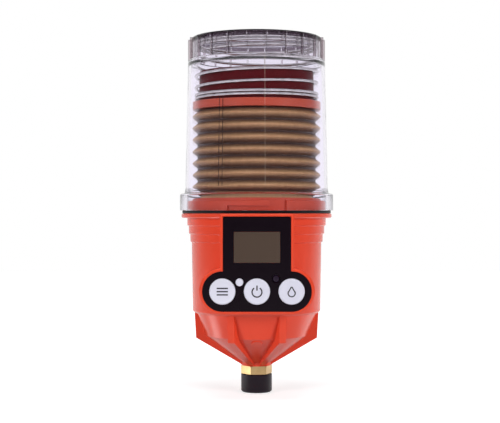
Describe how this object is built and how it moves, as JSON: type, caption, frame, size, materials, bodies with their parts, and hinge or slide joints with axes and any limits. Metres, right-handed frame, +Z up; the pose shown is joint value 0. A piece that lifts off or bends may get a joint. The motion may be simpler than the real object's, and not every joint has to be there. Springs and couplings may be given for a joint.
{
  "type": "automatic lubricator",
  "caption": "Battery-driven single-point grease lubricator: moulded housing with keypad and display, spring-pressed grease bellows under a clear cover, brass threaded outlet with cap.",
  "frame": {"origin": "on the axis, at the shoulder of the outlet thread where the brass hexagon seats on the machine", "axes": "+Z up the lubricator's axis from the outlet to the cover's top; the keypad faces -Y; +X is to the right seen from the front"},
  "size_m": [0.096, 0.0968, 0.2217],
  "materials": {
    "red_plastic": "moulded orange-red plastic, satin gloss",
    "collar_red": "moulded orange-red plastic",
    "clear_plastic": "clear moulded plastic",
    "black_rubber": "matte",
    "pouch": "tan film, satin",
    "spring_steel": "bright drawn wire",
    "black_panel": "black, satin",
    "key_white": "pale grey-white, satin",
    "led_smoke": "dark smoked lens",
    "window": "smoked clear",
    "lcd_grey": "grey-brown display",
    "black_plastic": "matte black",
    "board_green": "solder mask",
    "steel": "plated",
    "brass": "machined",
    "pump_metal": "machined",
    "tube_clear": "natural nylon",
    "gear_plastic": "natural acetal",
    "chassis_grey": "dark grey moulding",
    "battery_sleeve": "shrunk sleeve"
  },
  "bodies": {
    "housing": {"main_housing": "red_plastic", "deck": "collar_red", "deck_screws": "steel", "cover_seal": "black_rubber", "pouch_collar": "collar_red", "nozzle_seal": "black_rubber", "grease_bellows": "pouch", "pusher_spring": "spring_steel", "keypad_panel": "black_panel", "status_led": "led_smoke", "display_window": "window", "lcd": "lcd_grey", "lcd_frame": "black_plastic", "circuit_board": "board_green", "snap_domes": "steel", "board_screws": "steel", "outlet_fitting": "brass", "pump_block": "pump_metal", "feed_tube": "tube_clear", "check_spring": "spring_steel", "plunger_spring": "spring_steel", "gearmotor": "steel", "motor_screws": "steel", "chassis": "chassis_grey", "chassis_screws": "steel", "battery_pack": "battery_sleeve"},
    "cover": {"clear_cover": "clear_plastic"},
    "pusher": {"pusher": "collar_red"},
    "mode_key": {"mode_key": "key_white"},
    "power_key": {"power_key": "key_white"},
    "test_key": {"test_key": "key_white"},
    "reset_key": {"reset_key": "key_white"},
    "cap": {"outlet_cap": "black_plastic"},
    "check_ball": {"check_ball": "steel"},
    "plunger": {"plunger": "steel"},
    "camshaft": {"camshaft": "steel", "snail_cam": "gear_plastic", "cam_gear": "gear_plastic"},
    "motor_output": {"motor_shaft": "steel", "motor_pinion": "brass"}
  },
  "joints": [
    {"name": "cover_turn", "type": "hinge", "parent": "housing", "child": "cover", "pos_m": [0, 0, 0.104], "axis": [0, 0, 1], "range_deg": [0, 33]},
    {"name": "pusher_slide", "type": "slide", "parent": "housing", "child": "pusher", "axis": [0, 0, -1], "range_m": [0, 0.04], "deforming": ["grease_bellows", "pusher_spring"]},
    {"name": "mode_key_press", "type": "slide", "parent": "housing", "child": "mode_key", "axis": [0, 1, 0], "range_m": [0, 0.0008], "stiffness_N_per_m": 1200, "springref_m": -0.0006},
    {"name": "power_key_press", "type": "slide", "parent": "housing", "child": "power_key", "axis": [0, 1, 0], "range_m": [0, 0.0008], "stiffness_N_per_m": 1200, "springref_m": -0.0006},
    {"name": "test_key_press", "type": "slide", "parent": "housing", "child": "test_key", "axis": [0, 1, 0], "range_m": [0, 0.0008], "stiffness_N_per_m": 1200, "springref_m": -0.0006},
    {"name": "reset_key_press", "type": "slide", "parent": "housing", "child": "reset_key", "axis": [0, 1, 0], "range_m": [0, 0.0008], "stiffness_N_per_m": 1200, "springref_m": -0.0006},
    {"name": "cap_pull", "type": "slide", "parent": "housing", "child": "cap", "axis": [0, 0, -1], "range_m": [0, 0.03]},
    {"name": "check_ball_lift", "type": "slide", "parent": "housing", "child": "check_ball", "axis": [0, 0, -1], "range_m": [0, 0.001], "stiffness_N_per_m": 60, "springref_m": -0.001, "deforming": ["check_spring"]},
    {"name": "cam_turn", "type": "hinge", "parent": "housing", "child": "camshaft", "pos_m": [0, 0, 0.06], "axis": [1, 0, 0], "range_deg": [0, 300]},
    {"name": "motor_turn", "type": "hinge", "parent": "housing", "child": "motor_output", "pos_m": [0, 0, 0.08175], "axis": [1, 0, 0], "range_deg": [-942.87, 0]},
    {"name": "plunger_stroke", "type": "slide", "parent": "housing", "child": "plunger", "axis": [0, 0, -1], "range_m": [0, 0.004], "deforming": ["plunger_spring"]}
  ],
  "couplings": [
    {"joint": "motor_turn", "follows": "cam_turn", "ratio": -3.1429},
    {"joint": "plunger_stroke", "follows": "cam_turn", "m_per_rad": 0.00076394}
  ]
}
